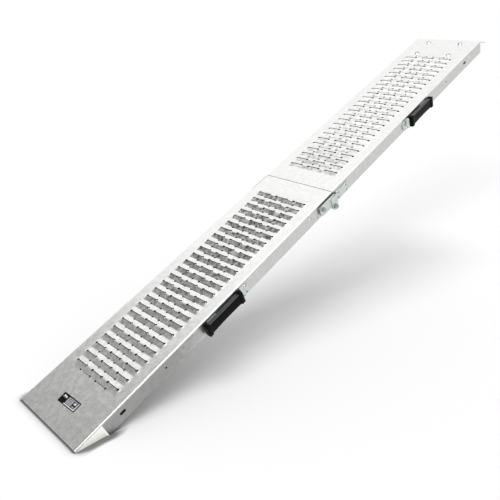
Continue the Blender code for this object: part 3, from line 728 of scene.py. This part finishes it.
def make_rivet(node, body, bright, dark):
    """A blind rivet in the place of a plain one: domed head with a pit in its middle, painted near-black
    as shade.
    """
    low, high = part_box(node)
    side = 1 if low.y > 0 else -1
    face, tail = (high.y, low.y) if side > 0 else (low.y, high.y)
    x, z = (low.x + high.x) / 2, (low.z + high.z) / 2
    head = (high.x - low.x) / 2 * RIVET_OVERSIZE
    base = face - side * RIVET_HEAD_HIGH
    profile = [(head * share, tail + side * up) for share, up in TAIL]
    profile += [(RIVET_R, tail + side * TAIL_THICK), (RIVET_R, base)]
    profile += [(head * share, base + side * up) for share, up in DOME]
    profile += [(head * share, face - side * down) for share, down in FACE]
    turns = [2 * math.pi * i / RIVET_SIDES for i in range(RIVET_SIDES)]
    loops = []
    for radius, y in profile:
        loops.append([Vector((x + radius * math.cos(a), y, z + radius * math.sin(a))) for a in turns])
    rivet = loft(node + "_blind", loops, bright)
    rivet.data.materials.append(dark)
    # faces down in the pit take the near-black painted shade
    for polygon in rivet.data.polygons:
        flat = polygon.center - Vector((x, polygon.center.y, z))
        if flat.length < head * PIT_SHADE_SHARE and (polygon.center.y - base) * side > 0:
            polygon.material_index = 1
    smooth(rivet.data, degrees=40)
    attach(rivet, body)
    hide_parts(node)


def sticker_material():
    """Black film with a grey panel, pale marks and thin white rules; nothing on it reads."""
    m = Nodes("sticker_film")
    split = m.add("ShaderNodeSeparateXYZ", {"Vector": m.coords.outputs["UV"]})
    u, v = split.outputs["X"], split.outputs["Y"]

    def block(u0, u1, v0, v1):
        across = m.math("MULTIPLY", m.math("GREATER_THAN", u, u0), m.math("LESS_THAN", u, u1))
        along = m.math("MULTIPLY", m.math("GREATER_THAN", v, v0), m.math("LESS_THAN", v, v1))
        return m.math("MULTIPLY", across, along)

    film = m.noise(scale=700.0, detail=3.0)
    level = m.spread(film, 0.003, 0.007)
    for box_uv, tone in STICKER_BLOCKS:
        # inputs 2 and 3 are the two numbers that a Mix node of plain numbers joins
        level = m.add("ShaderNodeMix", {0: block(*box_uv), 2: level, 3: tone}).outputs[0]
    m.shade(base_color=m.add("ShaderNodeCombineColor", {
        "Red": level, "Green": level, "Blue": m.math("MULTIPLY", level, 1.04)}).outputs[0],
        roughness=m.spread(film, 0.42, 0.55), specular_ior_level=0.05)
    m.bump(film, distance=0.00002, strength=0.3)
    return m.material


def make_sticker(material):
    """A thin film with cut corners on the low end of the deck."""
    long, short, thick = STICKER_SIZE
    outline = rounded_box(short / 2, long / 2, [STICKER_CORNER] * 4, 2)
    turned = Matrix.Rotation(STICKER_TURN, 3, "Z")
    centre = Vector((*STICKER_AT, 0.0))
    loops = []
    for z in (STICKER_GAP, STICKER_GAP + thick):
        loops.append([RAMP @ (centre + turned @ Vector((x, y, z))) for x, y in outline])
    sticker = loft("sticker", loops, material)
    layer = sticker.data.uv_layers.new(name="UVMap")
    to_flat = (RAMP @ Matrix.Translation(centre) @ turned.to_4x4()).inverted()
    for loop in sticker.data.loops:
        at = to_flat @ sticker.data.vertices[loop.vertex_index].co
        layer.data[loop.index].uv = (0.5 - at.y / long, 0.5 + at.x / short)
    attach(sticker, "lower_half")
    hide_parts("label")


# ---------------------------------------------------------------- studio
def make_floor(material):
    """A wide flat floor under the ramp."""
    bm = bmesh.new()
    bmesh.ops.create_grid(bm, x_segments=1, y_segments=1, size=FLOOR_HALF)
    data = bpy.data.meshes.new("floor")
    bm.to_mesh(data)
    bm.free()
    floor = add_object("floor", data, material)


def sun_light(name, direction, strength, spread):
    """A lamp that shines along direction, as soft as its spread in degrees is wide."""
    data = bpy.data.lights.new(name, "SUN")
    data.energy = strength
    data.angle = math.radians(spread)
    data.specular_factor = SUN_GLINT
    light = bpy.data.objects.new(name, data)
    light.rotation_euler = Vector(direction).to_track_quat("-Z", "Y").to_euler()
    bpy.context.scene.collection.objects.link(light)


def make_world():
    """Sky that is white overhead and towards the top end, greyer behind the low end."""
    world = bpy.data.worlds.new("studio")
    world.use_nodes = True
    bpy.context.scene.world = world
    tree = world.node_tree
    coords = tree.nodes.new("ShaderNodeTexCoord")
    split = tree.nodes.new("ShaderNodeSeparateXYZ")
    shift = tree.nodes.new("ShaderNodeMapRange")
    shift.inputs["From Min"].default_value = -1.0
    ramp = tree.nodes.new("ShaderNodeValToRGB")
    tree.links.new(coords.outputs["Generated"], split.inputs[0])
    tree.links.new(split.outputs["X"], shift.inputs["Value"])
    tree.links.new(shift.outputs["Result"], ramp.inputs["Fac"])
    lay_points(ramp.color_ramp, SKY)
    seen = tree.nodes.new("ShaderNodeLightPath")
    pick = tree.nodes.new("ShaderNodeMix")
    pick.data_type = "RGBA"
    tree.links.new(seen.outputs["Is Camera Ray"], pick.inputs["Factor"])
    tree.links.new(ramp.outputs["Color"], pick.inputs["A"])
    pick.inputs["B"].default_value = (1, 1, 1, 1)
    tree.links.new(pick.outputs["Result"], tree.nodes["Background"].inputs["Color"])


def make_camera():
    """The photo's view: its yaw is from east towards north, its pitch is downwards."""
    yaw, pitch, roll = (math.radians(a) for a in CAMERA_TURN)
    forward = Vector((math.cos(pitch) * math.cos(yaw), math.cos(pitch) * math.sin(yaw), math.sin(pitch)))
    right = Vector((math.sin(yaw), -math.cos(yaw), 0))
    up = right.cross(forward)
    turned_right = math.cos(roll) * right + math.sin(roll) * up
    turned_up = -math.sin(roll) * right + math.cos(roll) * up
    data = bpy.data.cameras.new("camera")
    data.sensor_width = CAMERA_SENSOR
    data.lens = CAMERA_LENS
    camera = bpy.data.objects.new("camera", data)
    place = Matrix((turned_right, turned_up, -forward)).transposed().to_4x4()
    place.translation = Vector(SEAM_AT) + Vector(CAMERA_FROM_SEAM)
    camera.matrix_world = place
    bpy.context.scene.collection.objects.link(camera)
    bpy.context.scene.camera = camera


def plank_materials():
    """A plank's materials, in the order of their places."""
    # the deck's galvanised steel, with painted shade darkening it towards the low end
    outside = galvanised("galvanised_steel", dark=(0.80, 0.80, 0.79), light=(0.90, 0.90, 0.885),
                         metallic=0.92, roughness=0.31, painted_shade=DECK_LOW_END_PAINTED_SHADE)
    # painted shade: a darker, duller copy of the steel for the sheet's far side, keeping the underside
    # and the view through the slots dark
    underside_shade = galvanised("underside_painted_shade", dark=(0.36, 0.365, 0.365),
                           light=(0.48, 0.485, 0.48), metallic=0.70, roughness=0.50)
    # painted shade: near-black for the sheet's rims and the turned-in collars of its slots and holes
    edge_painted_shade = dark_matt("edge_painted_shade", dark=(0.004, 0.004, 0.004), light=(0.012, 0.012, 0.012),
                         roughness=0.70, specular=0.10)
    # painted reflection: pale cream, not metallic, on the outer face of the lower plank's slanted tip
    tip_painted_reflection = galvanised("tip_painted_reflection", dark=(0.97, 0.97, 0.90), light=(1.0, 1.0, 0.94),
                           metallic=0.0, roughness=0.60)
    # painted shade: a darker copy of the steel for the folded-down sides, darker still towards the low
    # end
    sides = galvanised("sides_painted_shade", dark=(0.54, 0.543, 0.530), light=(0.63, 0.633, 0.615),
                       metallic=0.92, roughness=0.36, painted_shade=SIDES_LOW_END_PAINTED_SHADE)
    # painted shade and painted reflection: a copy of the steel for the down-slope tread facets, dark and
    # mottled over the middle of the ramp
    tread = galvanised("tread_painted_shade", dark=(0.70, 0.70, 0.69), light=(1.0, 1.0, 0.98),
                       metallic=0.92, roughness=0.31, painted_shade=TREAD_MIDDLE_PAINTED_SHADE)
    return [outside, underside_shade, edge_painted_shade, underside_shade, edge_painted_shade, tip_painted_reflection, sides, tread]


def dress(nodes, steel, plastic, bright):
    """Gives every CAD node the look of its kind, also those a piece made here stands for."""
    plate = zinc("zinc_plate", dark=(0.50, 0.55, 0.52), light=(0.66, 0.70, 0.67),
                 roughness=0.33, metallic=0.95)
    bolt = zinc("zinc_bolt", dark=(0.30, 0.33, 0.34), light=(0.42, 0.45, 0.46),
                roughness=0.24, metallic=0.98)
    # the first of these words that a node's name holds decides; bolts and the like have none
    looks = [("grip", plastic), ("plate", plate), ("strap", plate), ("deck", steel),
             ("label", plastic), ("lip_bolt", bright)]
    for name, node in nodes.items():
        look = next((found for word, found in looks if word in name), bolt)
        node.data.materials.clear()
        node.data.materials.append(look)


def main():
    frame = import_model()

    steels = plank_materials()
    plastic = dark_matt("black_plastic", dark=(0.001, 0.001, 0.0012), light=(0.003, 0.003, 0.0034),
                        roughness=0.38, specular=0.06)
    # glossier plastic for the grip's top strip, tinted teal-grey as painted shade
    gloss_and_painted_shade = dark_matt("grip_top_gloss_and_painted_shade", dark=(0.010, 0.014, 0.015), light=(0.020, 0.028, 0.029),
                      roughness=0.22, specular=0.55)
    bright = zinc("zinc_rivet", dark=(0.60, 0.62, 0.62), light=(0.74, 0.76, 0.76),
                  roughness=0.28, metallic=0.95)
    # near-black painted shade in the rivets' pits
    pit_painted_shade = zinc("rivet_pit_painted_shade", dark=(0.02, 0.02, 0.02), light=(0.05, 0.05, 0.05),
                    roughness=0.5, metallic=0.6)
    dress(frame["nodes"], steels[OUTSIDE], plastic, bright)

    make_plank("lower_pressed_plank", "lower_half", -1, steels)
    make_plank("upper_pressed_plank", "upper_half", 1, steels)
    make_grip("lower_moulded_grip", "lower_half", -1, plastic, gloss_and_painted_shade)
    make_grip("upper_moulded_grip", "upper_half", 1, plastic, gloss_and_painted_shade)
    make_sticker(sticker_material())
    for name, node in frame["nodes"].items():
        if "rivet" in name:
            make_rivet(name, node["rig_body"], bright, pit_painted_shade)

    make_floor(floor_material())
    make_world()
    for sun in SUNS:
        sun_light(*sun)
    make_camera()
    bpy.context.scene.view_settings.view_transform = "Standard"


main()
